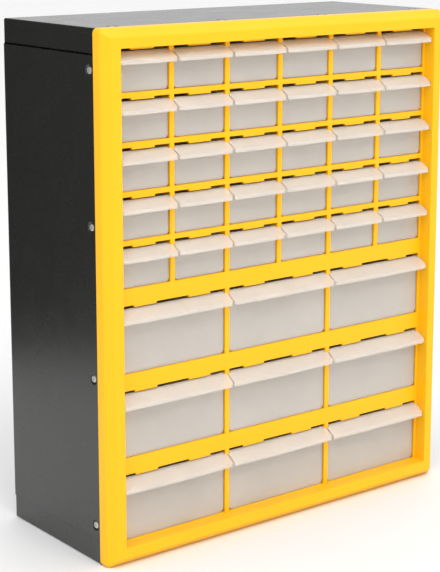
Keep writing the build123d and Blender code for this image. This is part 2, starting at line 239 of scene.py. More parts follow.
class DrawerSettings(PropertyGroup):
    """The frosted bins."""

    wall: FloatProperty(
        name="Wall", description="Thickness of a bin's walls", default=1.2 * MM,
        min=0.0, subtype="DISTANCE", unit="LENGTH")
    lip_bow: FloatProperty(
        name="Lip Bow", description="How far the middle of the lip's front edge stands out",
        default=0.8 * MM, min=0.0, subtype="DISTANCE", unit="LENGTH")
    edge_round: FloatProperty(
        name="Edge Round", description="Radius on the bin's edges", default=0.25 * MM,
        min=0.0, subtype="DISTANCE", unit="LENGTH")
    colour: FloatVectorProperty(
        name="Colour", description="Colour of the frosted plastic", subtype="COLOR",
        default=(0.985, 0.93, 0.865), size=3, min=0.0, max=1.0)
    transmission: FloatProperty(
        name="Transmission", description="Share of light that passes the frosted plastic",
        default=0.6, min=0.0, max=1.0, subtype="FACTOR")


class StageSettings(PropertyGroup):
    """Camera, floor and lights."""

    camera_place: FloatVectorProperty(
        name="Camera Place", description="Where the camera stands", size=3,
        subtype="TRANSLATION", unit="LENGTH", default=(-0.93937, -1.18959, 0.5801))
    camera_azimuth: FloatProperty(
        name="Azimuth", description="Turn of the camera about the vertical",
        default=math.radians(-37.83), subtype="ANGLE", unit="ROTATION")
    camera_elevation: FloatProperty(
        name="Elevation", description="How far the camera looks down",
        default=math.radians(11.06), subtype="ANGLE", unit="ROTATION")
    lens_mm: FloatProperty(
        name="Lens", description="Focal length on a 36 mm wide sensor", default=101.35, min=10.0)
    shift: FloatProperty(
        name="Shift", description="Vertical shift of the lens", default=-0.126)
    floor_size: FloatProperty(
        name="Floor Size", description="Side of the floor", default=60.0,
        min=1.0, subtype="DISTANCE", unit="LENGTH")
    key_power: FloatProperty(
        name="Key Power", description="Power of the large light above the front", default=34.0,
        min=0.0, subtype="POWER", unit="POWER")
    flag_distance: FloatProperty(
        name="Flag Distance", description="How far the dark card stands from the left side",
        default=0.6, min=0.1, subtype="DISTANCE", unit="LENGTH")
    world_strength: FloatProperty(
        name="World Strength", description="Strength of the even light all round", default=1.06,
        min=0.0)


# ---------------------------------------------------------------- modelling helpers


def only(obj):
    """Leave edit mode and select this object alone."""
    if bpy.context.object is not None and bpy.context.object.mode != "OBJECT":
        bpy.ops.object.mode_set(mode="OBJECT")
    bpy.ops.object.select_all(action="DESELECT")
    obj.hide_set(False)
    obj.select_set(True)
    bpy.context.view_layer.objects.active = obj


def edit(obj):
    """Open a mesh in edit mode with nothing selected."""
    only(obj)
    bpy.ops.object.mode_set(mode="EDIT")
    bpy.ops.mesh.select_mode(type="FACE")
    bpy.ops.mesh.select_all(action="DESELECT")


def done():
    """Close edit mode."""
    bpy.ops.object.mode_set(mode="OBJECT")


def pick(obj, kind, test):
    """Select the faces or edges that pass the test, and stop if there are none."""
    bpy.ops.mesh.select_mode(type=kind)
    bpy.ops.mesh.select_all(action="DESELECT")
    mesh = bmesh.from_edit_mesh(obj.data)
    mesh.verts.index_update()
    picked = [part for part in (mesh.faces if kind == "FACE" else mesh.edges) if test(part)]
    if not picked:
        raise RuntimeError(f"no {kind.lower()} of {obj.name} is where it should be")
    for part in picked:
        part.select_set(True)
    bmesh.update_edit_mesh(obj.data)


def pick_faces(obj, test):
    """Select the faces whose middle and normal pass the test."""
    pick(obj, "FACE", lambda face: test(face.calc_center_median(), face.normal))


def pick_edges(obj, test):
    """Select the edges whose two ends pass the test."""
    pick(obj, "EDGE", lambda edge: test(edge.verts[0].co, edge.verts[1].co))


def pick_folds(obj, test):
    """Select the sharply folded edges whose two ends pass the test."""
    pick(obj, "EDGE", lambda edge: len(edge.link_faces) == 2
         and edge.calc_face_angle() > math.radians(FOLDED_DEGREES)
         and test(edge.verts[0].co, edge.verts[1].co))


def pick_vertex_run(obj, start, end):
    """Select the edges whose two vertices both lie in this run of vertex numbers."""
    pick(obj, "EDGE", lambda edge: all(start <= vertex.index < end for vertex in edge.verts))


def near(a, b, slack=SAME_PLACE):
    """Whether two coordinates are the same place."""
    return abs(a - b) < slack


def extrude_by(offset):
    """Extrude the selected faces by this much."""
    bpy.ops.mesh.extrude_region_move(TRANSFORM_OT_translate={"value": offset})


def split_faces(obj, test, axis, places):
    """Cut the faces that pass the test at these places on the X, Y or Z axis."""
    normal = Vector([float(axis == letter) for letter in "XYZ"])
    for place in places:
        pick_faces(obj, test)
        bpy.ops.mesh.bisect(plane_co=normal * place, plane_no=normal)


def bevel_picked(radius, segments):
    """Round the selected edges."""
    bpy.ops.mesh.bevel(offset=radius, segments=segments, affect="EDGES", profile=0.5)


def bevel_edges(obj, test, radius, segments):
    """Round the edges whose two ends pass the test."""
    pick_edges(obj, test)
    bevel_picked(radius, segments)


def add_box(name, low, high):
    """A box between two corners, with its object at the origin."""
    bpy.ops.object.select_all(action="DESELECT")
    low, high = Vector(low), Vector(high)
    bpy.ops.mesh.primitive_cube_add(size=1, location=(low + high) / 2, scale=high - low)
    box = bpy.context.object
    box.name = name
    bpy.ops.object.transform_apply(location=True, rotation=True, scale=True)
    return box


def add_copy(obj, matrix):
    """A copy of a mesh object with its own mesh, which is moved by the matrix."""
    copy = obj.copy()
    copy.data = obj.data.copy()
    copy.data.transform(matrix)
    bpy.context.scene.collection.objects.link(copy)
    return copy


def join_all(objects, name):
    """Join meshes into the first of them."""
    bpy.ops.object.select_all(action="DESELECT")
    for obj in objects:
        obj.select_set(True)
    bpy.context.view_layer.objects.active = objects[0]
    bpy.ops.object.join()
    objects[0].name = name
    return objects[0]


def use_modifier(obj, kind, **values):
    """Add a modifier with these values and apply it."""
    only(obj)
    modifier = obj.modifiers.new(kind.title(), kind)
    for key, value in values.items():
        setattr(modifier, key, value)
    bpy.ops.object.modifier_apply(modifier=modifier.name)


def round_edges(obj, width, degrees):
    """Round every edge that is folded by more degrees than this."""
    use_modifier(obj, "BEVEL", width=width, segments=EDGE_STEPS, limit_method="ANGLE",
                 angle_limit=math.radians(degrees), use_clamp_overlap=False,
                 miter_outer="MITER_ARC", harden_normals=False)


def copy_of_node(node, name):
    """A merged copy of a CAD node, with its flat faces whole."""
    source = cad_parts[node]
    piece = bpy.data.objects.new(name, source.data.copy())
    bpy.context.scene.collection.objects.link(piece)
    edit(piece)
    bpy.ops.mesh.select_all(action="SELECT")
    bpy.ops.mesh.remove_doubles(threshold=MERGE_DISTANCE)
    bpy.ops.mesh.customdata_custom_splitnormals_clear()
    bpy.ops.mesh.dissolve_limited(angle_limit=math.radians(FLAT_DEGREES))
    done()
    return piece


def finish_piece(obj, name, body, material, nodes):
    """Name a finished piece, give it its finish and let it stand for its CAD nodes."""
    only(obj)
    bpy.ops.object.shade_smooth_by_angle(angle=math.radians(SMOOTH_DEGREES))
    use_modifier(obj, "WEIGHTED_NORMAL", keep_sharp=True)
    obj.name = name
    obj.data.name = name
    obj.data.materials.clear()
    obj.data.materials.append(material)
    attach(obj, body)
    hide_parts(*nodes)


# ---------------------------------------------------------------- shader nodes


def new_group(name, inputs, outputs):
    """An empty node group: inputs are (name, default) pairs, outputs (name, socket type) pairs."""
    group = bpy.data.node_groups.new(name, "ShaderNodeTree")
    for label, default in inputs:
        colour = isinstance(default, tuple)
        kind = "NodeSocketColor" if colour else "NodeSocketFloat"
        socket = group.interface.new_socket(label, in_out="INPUT", socket_type=kind)
        socket.default_value = (*default, 1.0) if colour else default
    for label, kind in outputs:
        group.interface.new_socket(label, in_out="OUTPUT", socket_type=kind)
    entry = group.nodes.new("NodeGroupInput")
    leave = group.nodes.new("NodeGroupOutput")
    return group, entry, leave


def add_node(tree, kind, **values):
    """A node whose attributes and input sockets are set by name."""
    node = tree.nodes.new(kind)
    for key, value in values.items():
        if hasattr(node, key):
            setattr(node, key, value)
        else:
            node.inputs[key.replace("_", " ")].default_value = value
    return node


def feed(tree, socket, value):
    """Set a socket to a number, or link an output socket to it."""
    if isinstance(value, (int, float)):
        socket.default_value = value
    else:
        tree.links.new(value, socket)


def object_place(tree):
    """The surface's place in the object's own coordinates."""
    return add_node(tree, "ShaderNodeTexCoord").outputs["Object"]


def height_of(tree, vector):
    """The Z of a vector."""
    parts = add_node(tree, "ShaderNodeSeparateXYZ")
    tree.links.new(vector, parts.inputs[0])
    return parts.outputs["Z"]


def noise(tree, vector, scale, detail, roughness):
    """A noise texture on a vector."""
    node = add_node(tree, "ShaderNodeTexNoise", Detail=detail, Roughness=roughness)
    tree.links.new(vector, node.inputs["Vector"])
    feed(tree, node.inputs["Scale"], scale)
    return node.outputs["Fac"]


def math_node(tree, operation, *values):
    """A math node on one or two values, which are numbers or output sockets."""
    node = add_node(tree, "ShaderNodeMath", operation=operation)
    for socket, value in zip(node.inputs, values):
        feed(tree, socket, value)
    return node.outputs[0]


def remap(tree, value, low, high, new_low, new_high):
    """Stretch a value from one range to another, clamped."""
    node = add_node(tree, "ShaderNodeMapRange", clamp=True)
    tree.links.new(value, node.inputs["Value"])
    for label, number in (("From Min", low), ("From Max", high),
                          ("To Min", new_low), ("To Max", new_high)):
        feed(tree, node.inputs[label], number)
    return node.outputs["Result"]


def scale_colour(tree, colour, factor):
    """A colour made lighter or darker by a factor."""
    node = add_node(tree, "ShaderNodeVectorMath", operation="SCALE")
    tree.links.new(colour, node.inputs[0])
    tree.links.new(factor, node.inputs["Scale"])
    return node.outputs[0]


def mottle_group(name):
    """Soft cloudy change of tone over a surface, and the roughness that goes with it."""
    group, entry, leave = new_group(
        name, (("Colour", (0.5, 0.5, 0.5)), ("Scale", 20.0), ("Amount", 0.1),
               ("Roughness", 0.4), ("Roughness Change", 0.05)),
        (("Colour", "NodeSocketColor"), ("Roughness", "NodeSocketFloat")))
    place = object_place(group)
    scale, amount = entry.outputs["Scale"], entry.outputs["Amount"]
    cloud = noise(group, place, scale, detail=4.0, roughness=0.6)
    shade = remap(group, cloud, low=0.3, high=0.7,
                  new_low=math_node(group, "SUBTRACT", 1.0, amount),
                  new_high=math_node(group, "ADD", 1.0, amount))
    group.links.new(scale_colour(group, entry.outputs["Colour"], shade), leave.inputs["Colour"])
    fine = noise(group, place, math_node(group, "MULTIPLY", scale, 4.0), detail=3.0, roughness=0.6)
    change = math_node(group, "MULTIPLY", math_node(group, "SUBTRACT", fine, 0.5),
                       entry.outputs["Roughness Change"])
    group.links.new(math_node(group, "ADD", entry.outputs["Roughness"], change),
                    leave.inputs["Roughness"])
    return group


def grain_group(name):
    """Fine relief of a moulded or sprayed surface: a height for a Bump node."""
    group, entry, leave = new_group(
        name, (("Scale", 900.0), ("Coarse Scale", 60.0), ("Coarse Share", 0.3)),
        (("Height", "NodeSocketFloat"),))
    place = object_place(group)
    fine = noise(group, place, entry.outputs["Scale"], detail=2.0, roughness=0.5)
    coarse = noise(group, place, entry.outputs["Coarse Scale"], detail=2.0, roughness=0.5)
    share = math_node(group, "MULTIPLY", coarse, entry.outputs["Coarse Share"])
    group.links.new(math_node(group, "ADD", fine, share), leave.inputs["Height"])
    return group


def seam_shade_group(name):
    """The lap between the wrap and the pans at two heights all round: a bump groove, and painted
    shade that darkens the colour in it.
    """
    group, entry, leave = new_group(
        name, (("Colour", (0.5, 0.5, 0.5)), ("Height", 0.0), ("Low", 0.0), ("High", 1.0),
               ("Half Width", 1.0 * MM), ("Depth", 6.0)),
        (("Colour", "NodeSocketColor"), ("Height", "NodeSocketFloat")))
    height = height_of(group, object_place(group))
    gaps = [math_node(group, "ABSOLUTE", math_node(group, "SUBTRACT", height, entry.outputs[side]))
            for side in ("Low", "High")]
    nearest = math_node(group, "MINIMUM", *gaps)
    groove = remap(group, nearest, low=0.0, high=entry.outputs["Half Width"],
                   new_low=1.0, new_high=0.0)
    # Painted shade: the colour darkens to a twentieth of itself in the middle of the gap at the lap
    shade = remap(group, groove, low=0.0, high=0.5, new_low=1.0, new_high=0.05)
    group.links.new(scale_colour(group, entry.outputs["Colour"], shade), leave.inputs["Colour"])
    drop = math_node(group, "MULTIPLY", groove, entry.outputs["Depth"])
    group.links.new(math_node(group, "SUBTRACT", entry.outputs["Height"], drop),
                    leave.inputs["Height"])
    return group


def dust_group(name):
    """Pale dust that settles on faces that look up."""
    group, entry, leave = new_group(
        name, (("Colour", (0.5, 0.5, 0.5)), ("Dust", (0.6, 0.58, 0.54)), ("Amount", 0.1)),
        (("Colour", "NodeSocketColor"),))
    normal = add_node(group, "ShaderNodeNewGeometry").outputs["Normal"]
    up = remap(group, height_of(group, normal), low=0.5, high=1.0, new_low=0.0, new_high=1.0)
    cloud = noise(group, object_place(group), scale=160.0, detail=6.0, roughness=0.7)
    specks = remap(group, cloud, low=0.45, high=0.75, new_low=0.2, new_high=1.0)
    amount = math_node(group, "MULTIPLY", math_node(group, "MULTIPLY", up, specks),
                       entry.outputs["Amount"])
    mix = add_node(group, "ShaderNodeMix", data_type="RGBA")
    group.links.new(amount, mix.inputs["Factor"])
    group.links.new(entry.outputs["Colour"], mix.inputs[MIX_FIRST])
    group.links.new(entry.outputs["Dust"], mix.inputs[MIX_SECOND])
    group.links.new(mix.outputs[MIX_RESULT], leave.inputs["Colour"])
    return group


def place_group(tree, name, build, **values):
    """A group node in a material, built on first use, with its input values set by name."""
    node = tree.nodes.new("ShaderNodeGroup")
    node.node_tree = bpy.data.node_groups.get(name) or build(name)
    for key, value in values.items():
        socket = node.inputs[key.replace("_", " ")]
        socket.default_value = (*value, 1.0) if socket.type == "RGBA" else value
    return node


# ---------------------------------------------------------------- materials


def surface_material(name, colour, roughness, mottle, grain, dust, bump, bump_height, **plain):
    """A mottled, dusty and grained surface; plain values go on the shader's own sockets."""
    material = bpy.data.materials.new(name)
    material.use_nodes = True
    tree = material.node_tree
    shader = tree.nodes["Principled BSDF"]
    tone = place_group(tree, "Surface Mottle", mottle_group, Colour=tuple(colour),
                       Roughness=roughness, **mottle)
    settled = place_group(tree, "Settled Dust", dust_group, Amount=dust)
    tree.links.new(tone.outputs["Colour"], settled.inputs["Colour"])
    tree.links.new(settled.outputs["Colour"], shader.inputs["Base Color"])
    tree.links.new(tone.outputs["Roughness"], shader.inputs["Roughness"])
    relief = place_group(tree, "Fine Grain", grain_group, **grain)
    rise = add_node(tree, "ShaderNodeBump", Strength=bump, Distance=bump_height)
    tree.links.new(relief.outputs["Height"], rise.inputs["Height"])
    tree.links.new(rise.outputs["Normal"], shader.inputs["Normal"])
    for key, value in plain.items():
        shader.inputs[key.replace("_", " ")].default_value = value
    return material


def frame_plastic(settings):
    """Yellow moulded plastic with a fine satin grain."""
    return surface_material(
        "frame_plastic_yellow", settings.colour, settings.roughness,
        mottle=dict(Scale=14.0, Amount=0.02, Roughness_Change=0.08),
        grain=dict(Scale=1400.0, Coarse_Scale=90.0, Coarse_Share=0.5),
        dust=0.03, bump=0.25, bump_height=0.02 * MM, Specular_IOR_Level=0.28)


def shell_paint(settings):
    """Charcoal powder coat with orange peel, and a line of painted shade with a bump groove along
    the laps of the sheet.
    """
    material = surface_material(
        "shell_powder_coat", settings.colour, settings.roughness,
        mottle=dict(Scale=9.0, Amount=0.06, Roughness_Change=0.1),
        grain=dict(Scale=1100.0, Coarse_Scale=300.0, Coarse_Share=0.9),
        dust=0.06, bump=0.2, bump_height=0.03 * MM, IOR=1.58)
    tree = material.node_tree
    rise = next(node for node in tree.nodes if node.bl_idname == "ShaderNodeBump")
    relief = rise.inputs["Height"].links[0].from_socket
    base = tree.nodes["Principled BSDF"].inputs["Base Color"]
    paint = base.links[0].from_socket
    wrap_low, wrap_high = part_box("side_back_wrap")
    # The seam group paints shade into the colour along the laps, and lowers the bump height into a
    # groove there
    seam = place_group(tree, "Sheet Seam Painted Shade", seam_shade_group, Low=wrap_low.z - SEAM_OFFSET,
                       High=wrap_high.z + SEAM_OFFSET)
    tree.links.new(relief, seam.inputs["Height"])
    tree.links.new(seam.outputs["Height"], rise.inputs["Height"])
    tree.links.new(paint, seam.inputs["Colour"])
    tree.links.new(seam.outputs["Colour"], base)
    return material


def screw_steel(settings):
    """Zinc-plated steel."""
    return surface_material(
        "screw_zinc", settings.steel_colour, roughness=0.34,
        mottle=dict(Scale=260.0, Amount=0.12, Roughness_Change=0.2),
        grain=dict(Scale=2500.0, Coarse_Scale=500.0, Coarse_Share=0.4),
        dust=0.05, bump=0.3, bump_height=0.01 * MM, Metallic=0.55)


def drawer_plastic(settings):
    """Frosted natural polypropylene."""
    return surface_material(
        "drawer_frosted", settings.colour, roughness=0.24,
        mottle=dict(Scale=26.0, Amount=0.03, Roughness_Change=0.12),
        grain=dict(Scale=1300.0, Coarse_Scale=45.0, Coarse_Share=1.2),
        dust=0.03, bump=0.3, bump_height=0.03 * MM,
        Transmission_Weight=settings.transmission, IOR=1.3)


def floor_paint():
    """Plain pale studio floor."""
    return surface_material(
        "floor_pale", (0.86, 0.86, 0.86), roughness=0.6,
        mottle=dict(Scale=2.0, Amount=0.01, Roughness_Change=0.05),
        grain=dict(Scale=400.0, Coarse_Scale=20.0, Coarse_Share=0.2),
        dust=0.0, bump=0.05, bump_height=0.02 * MM)


def flag_felt():
    """Black felt of the studio card."""
    return surface_material(
        "flag_felt", (0.012, 0.012, 0.012), roughness=0.9,
        mottle=dict(Scale=8.0, Amount=0.1, Roughness_Change=0.05),
        grain=dict(Scale=600.0, Coarse_Scale=60.0, Coarse_Share=0.5),
        dust=0.0, bump=0.2, bump_height=0.1 * MM, Specular_IOR_Level=0.1)


# ---------------------------------------------------------------- stage


def add_floor(settings):
    """A wide floor under the cabinet."""
    bpy.ops.object.select_all(action="DESELECT")
    bpy.ops.mesh.primitive_plane_add(size=settings.floor_size, location=(0, 0, 0))
    floor = bpy.context.object
    floor.name = "studio_floor"
    floor.data.materials.append(floor_paint())


def add_lights(settings):
    """Even light from all round, and a large key light above the front."""
    world = bpy.data.worlds.new("studio_world")
    world.use_nodes = True
    sky = world.node_tree.nodes["Background"]
    sky.inputs["Color"].default_value = (1.0, 1.0, 1.0, 1.0)
    sky.inputs["Strength"].default_value = settings.world_strength
    bpy.context.scene.world = world
    bpy.ops.object.light_add(type="AREA", location=KEY_PLACE)
    key = bpy.context.object
    key.name = "key_light"
    key.data.shape = "RECTANGLE"
    key.data.size = KEY_WIDTH
    key.data.size_y = KEY_HEIGHT
    key.data.energy = settings.key_power
    aim = Vector(KEY_AIM) - key.location
    key.rotation_euler = aim.to_track_quat("-Z", "Y").to_euler()


def add_flag(settings):
    """A dark card on the left, past the camera's view, which only the gloss of the side sees."""
    away = settings.flag_distance
    turn = -settings.camera_azimuth
    middle = (CAD_LOW.x - away * math.sin(turn), away * math.cos(turn), FLAG_HEIGHT / 2)
    bpy.ops.object.select_all(action="DESELECT")
    bpy.ops.mesh.primitive_plane_add(size=1, location=middle, rotation=(math.pi / 2, 0, turn))
    flag = bpy.context.object
    flag.name = "studio_flag"
    edit(flag)
    bpy.ops.mesh.select_all(action="SELECT")
    bpy.ops.transform.resize(value=(FLAG_WIDTH, FLAG_HEIGHT, 1), orient_type="LOCAL",
                             center_override=middle)
    done()
    bpy.ops.object.transform_apply(location=True, rotation=True, scale=True)
    flag.data.materials.append(flag_felt())
    for ray in ("camera", "diffuse", "transmission", "volume_scatter", "shadow"):
        setattr(flag, f"visible_{ray}", False)


def add_camera(settings):
    """The camera at the photograph's viewing angle."""
    bpy.ops.object.camera_add(location=settings.camera_place, rotation=(
        math.pi / 2 - settings.camera_elevation, 0.0, settings.camera_azimuth))
    camera = bpy.context.object
    camera.name = "photo_camera"
    camera.data.lens = settings.lens_mm
    camera.data.sensor_width = SENSOR_WIDTH_MM
    camera.data.shift_y = settings.shift
    camera.data.clip_end = VIEW_REACH
    bpy.context.scene.camera = camera


class CABINET_OT_stage(Operator):
    """Set the floor, the lights and the camera"""

    bl_idname = "cabinet.stage"
    bl_label = "Stage"

    def execute(self, context):
        settings = context.scene.cabinet_stage
        add_floor(settings)
        add_lights(settings)
        add_flag(settings)
        add_camera(settings)
        context.scene.view_settings.view_transform = "Standard"
        return {"FINISHED"}


# ---------------------------------------------------------------- front moulding


def openings():
    """Each opening in the grid face as (x, z, width, height, notches)."""
    for row in range(SMALL_ROWS):
        for column in range(SMALL_COLUMNS):
            yield (column * COLUMN_PITCH - GRID_WIDTH / 2, SMALL_BASE_Z + row * SMALL_ROW_PITCH,
                   COLUMN_PITCH - DIVIDER, SMALL_OPEN_HEIGHT, SMALL_NOTCHES)
    for row in range(LARGE_ROWS):
        for column in range(LARGE_COLUMNS):
            yield (2 * column * COLUMN_PITCH - GRID_WIDTH / 2, GRID_LOW_Z + row * LARGE_ROW_PITCH,
                   2 * COLUMN_PITCH - DIVIDER, LARGE_OPEN_HEIGHT, LARGE_NOTCHES)


def grid_cuts():
    """The sides of all openings and notches, as sorted X places and sorted Z places."""
    across, upright = set(), set()
    for left, low_z, width, height, notches in openings():
        across.update((left, left + width))
        across.update(left + x for notch in notches for x in notch)
        upright.update((low_z, low_z + height, low_z + height + NOTCH_HEIGHT))
    return [sorted({round(place, PLACE_DECIMALS) for place in places})
            for places in (across, upright)]


def in_opening(x, z):
    """Whether a point of the grid face lies in an opening or in a notch over one."""
    for left, low_z, width, height, notches in openings():
        if left < x < left + width and low_z < z < low_z + height:
            return True
        if low_z + height < z < low_z + height + NOTCH_HEIGHT:
            if any(left + start < x < left + end for start, end in notches):
                return True
    return False


def in_grid(point):
    """Whether a point of the grid face lies inside the recess's own outline."""
    return (abs(point.x) < GRID_WIDTH / 2 + RECESS_SIDE - MARGIN
            and GRID_LOW_Z - MARGIN < point.z < GRID_TOP_Z + RECESS_TOP - MARGIN)


def on_rim(point, half_width, high):
    """Whether a point lies on the rounded rim this far from the middle."""
    inset = high.x - half_width
    across = near(abs(point.x), half_width, CORNER_REACH)
    upright = near(abs(point.z - high.z / 2), high.z / 2 - inset, CORNER_REACH)
    return across or upright


def add_outline(low, high, y, radius):
    """A rounded upright rectangle of edges at this depth, facing the front."""
    bpy.ops.object.select_all(action="DESELECT")
    middle = ((low[0] + high[0]) / 2, y, (low[1] + high[1]) / 2)
    bpy.ops.mesh.primitive_plane_add(size=1, location=middle, rotation=(math.pi / 2, 0, 0))
    loop = bpy.context.object
    bpy.ops.object.transform_apply(location=True, rotation=True, scale=True)
    edit(loop)
    bpy.ops.mesh.select_all(action="SELECT")
    bpy.ops.transform.resize(value=(high[0] - low[0], 1, high[1] - low[1]),
                             center_override=middle)
    bpy.ops.mesh.bevel(offset=radius, segments=CORNER_STEPS, affect="VERTICES")
    bpy.ops.mesh.select_all(action="SELECT")
    bpy.ops.mesh.delete(type="ONLY_FACE")
    done()
    return loop


def mould_front():
    """The skin of the front moulding, from its skirt round the bezel to the grid face."""
    low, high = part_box("front_frame")
    front_y = low.y
    shell_y = front_y + FRAME_DEPTH
    grid_y = front_y + RECESS_DEEP

    def outline(inset, y, radius):
        return add_outline((low.x + inset, low.z + inset), (high.x - inset, high.z - inset),
                           y, radius)

    def recess(flare, y):
        return add_outline(
            (-GRID_WIDTH / 2 - RECESS_SIDE - flare, GRID_LOW_Z - RECESS_LOW - flare),
            (GRID_WIDTH / 2 + RECESS_SIDE + flare, GRID_TOP_Z + RECESS_TOP + flare),
            y, RECESS_CORNER)

    # Two of the outlines are flush with a neighbour, and stand back from it while they are
    # bridged, because a bridge between flush outlines twists
    stations = [outline(SKIRT_INSET, shell_y + SKIRT_DEEP, FRAME_CORNER - SKIRT_INSET),
                outline(SKIRT_INSET, shell_y + STAND_BACK, FRAME_CORNER - SKIRT_INSET),
                outline(0, shell_y, FRAME_CORNER),
                outline(0, front_y + BEVEL_DEEP, FRAME_CORNER),
                outline(BEVEL_WIDE, front_y, FRONT_CORNER),
                recess(RECESS_FLARE, front_y + STAND_BACK),
                recess(0, grid_y)]
    flush = (1, 5)
    count = len(stations[0].data.vertices)
    front = join_all(stations, "front_moulding")
    edit(front)
    for i in range(len(stations) - 1):
        pick_vertex_run(front, i * count, (i + 2) * count)
        bpy.ops.mesh.bridge_edge_loops()
    for i in flush:
        pick_vertex_run(front, i * count, (i + 1) * count)
        bpy.ops.transform.translate(value=(0, -STAND_BACK, 0))

    # The grid face is cut along the sides of its openings, which are then taken out
    def grid_face(middle, normal):
        return near(middle.y, grid_y) and abs(normal.y) > FACES_ALONG

    pick_vertex_run(front, (len(stations) - 1) * count, len(stations) * count)
    bpy.ops.mesh.edge_face_add()
    across, upright = grid_cuts()
    split_faces(front, grid_face, "X", across)
    split_faces(front, grid_face, "Z", upright)
    pick_faces(front, lambda middle, normal: grid_face(middle, normal)
               and in_opening(middle.x, middle.z))
    bpy.ops.mesh.delete(type="FACE")
    bpy.ops.mesh.select_all(action="SELECT")
    bpy.ops.mesh.remove_doubles(threshold=MERGE_DISTANCE)
    bpy.ops.mesh.normals_make_consistent(inside=False)
    done()
    return front


def thicken_front(front, edge_round):
    """Round the skin's rims, give it its wall and round the edges of the openings."""
    low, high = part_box("front_frame")
    edit(front)
    for y, half_width, radius in ((low.y + BEVEL_DEEP, high.x, OUTER_RIM_ROUND),
                                  (low.y, high.x - BEVEL_WIDE, INNER_RIM_ROUND)):
        bevel_edges(front, lambda a, b: near(a.y, y) and near(b.y, y)
                    and on_rim(a, half_width, high) and on_rim(b, half_width, high),
                    radius, RIM_STEPS)
    mouth_x = GRID_WIDTH / 2 + RECESS_SIDE + RECESS_FLARE
    bevel_edges(front, lambda a, b: all(near(end.y, low.y) and abs(end.x) < mouth_x + MARGIN
                                        for end in (a, b)), edge_round, RIM_STEPS)
    done()
    use_modifier(front, "SOLIDIFY", thickness=FRAME_WALL, offset=-1.0)
    edit(front)
    grid_y = low.y + RECESS_DEEP
    pick_folds(front, lambda a, b: all(near(end.y, grid_y) and in_grid(end) for end in (a, b)))
    bevel_picked(edge_round, EDGE_STEPS)
    done()


class CABINET_OT_front_frame(Operator):
    """Mould the front frame: bezel, recess, grid face, skirt and bosses"""

    bl_idname = "cabinet.front_frame"
    bl_label = "Front Frame"

    def execute(self, context):
        settings = context.scene.cabinet_frame
        front = mould_front()
        thicken_front(front, settings.edge_round)
        piece = join_all([front, *screw_bosses()], "front_moulding")
        finish_piece(piece, "front_moulding", CABINET_BODY,
                     frame_plastic(settings), ["front_frame"])
        return {"FINISHED"}


class CABINET_OT_guides(Operator):
    """Give the drawer guides, whose CAD shapes stay, the frame's plastic"""

    bl_idname = "cabinet.guides"
    bl_label = "Drawer Guides"

    def execute(self, context):
        material = bpy.data.materials.get("frame_plastic_yellow")
        if material is None:
            raise RuntimeError("the front frame and its plastic come first")
        for name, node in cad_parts.items():
            if name.startswith("guide_"):
                for slot in node.material_slots:
                    slot.material = material
        return {"FINISHED"}


# ---------------------------------------------------------------- shell and screws


class CABINET_OT_shell(Operator):
    """Dress the steel wrap and the two pans"""

    bl_idname = "cabinet.shell"
    bl_label = "Steel Shell"

    def execute(self, context):
        settings = context.scene.cabinet_shell
        material = shell_paint(settings)
        for node, name in (("side_back_wrap", "wrap_sheet"), ("top_pan", "top_sheet"),
                           ("bottom_pan", "bottom_sheet")):
            piece = copy_of_node(node, name)
            round_edges(piece, settings.edge_round, SHEET_FOLD_DEGREES)
            finish_piece(piece, name, CABINET_BODY, material, [node])
        return {"FINISHED"}


def model_screw():
    """A pan-head screw with a cross recess, on a plain shank."""
    bpy.ops.object.select_all(action="DESELECT")
    bpy.ops.mesh.primitive_cylinder_add(vertices=SCREW_FACETS, radius=HEAD_RADIUS,
                                        depth=HEAD_HEIGHT, location=(0, 0, HEAD_HEIGHT / 2))
    screw = bpy.context.object
    bpy.ops.object.transform_apply(location=True, rotation=True, scale=True)
    edit(screw)
    bevel_edges(screw, lambda a, b: near(a.z, HEAD_HEIGHT) and near(b.z, HEAD_HEIGHT),
                HEAD_ROUND, HEAD_STEPS)
    pick_faces(screw, lambda middle, normal: normal.z < -FACES_ALONG)
    bpy.ops.mesh.inset(thickness=HEAD_RADIUS - SHANK_RADIUS)
    extrude_by((0, 0, -SHANK_LENGTH))
    done()
    half, low_z = CROSS_LONG / 2, HEAD_HEIGHT - CROSS_DEEP
    for across, along in ((CROSS_WIDE / 2, half), (half, CROSS_WIDE / 2)):
        arm = add_box("cross_arm", (-across, -along, low_z), (across, along, 2 * HEAD_HEIGHT))
        use_modifier(screw, "BOOLEAN", operation="DIFFERENCE", object=arm, solver="EXACT")
        bpy.data.objects.remove(arm, do_unlink=True)
    return screw


def screw_seats(side):
    """Where the screws of one side sit, as matrices."""
    angle, axis = SCREW_TURNS[side]
    turn = Matrix.Rotation(math.radians(angle), 4, axis)
    for i in range(SCREWS_PER_SIDE):
        step = i - (SCREWS_PER_SIDE - 1) / 2
        if side in ("left", "right"):
            wall_x = CAD_LOW.x + SEAT_DEPTH if side == "left" else CAD_HIGH.x - SEAT_DEPTH
            place = (wall_x, SCREW_Y, CAD_HIGH.z / 2 + step * SIDE_SCREW_PITCH)
        else:
            wall_z = CAD_LOW.z + SEAT_DEPTH if side == "bottom" else CAD_HIGH.z - SEAT_DEPTH
            place = (step * PAN_SCREW_PITCH, SCREW_Y, wall_z)
        yield Matrix.Translation(place) @ turn


def screw_bosses():
    """The square bosses inside the skirt that the screws cut into."""
    half = BOSS_SIZE / 2
    for side in SCREW_TURNS:
        for seat in screw_seats(side):
            boss = add_box("boss", (-half, -half, BOSS_LOW), (half, half, BOSS_HIGH))
            boss.data.transform(seat)
            yield boss


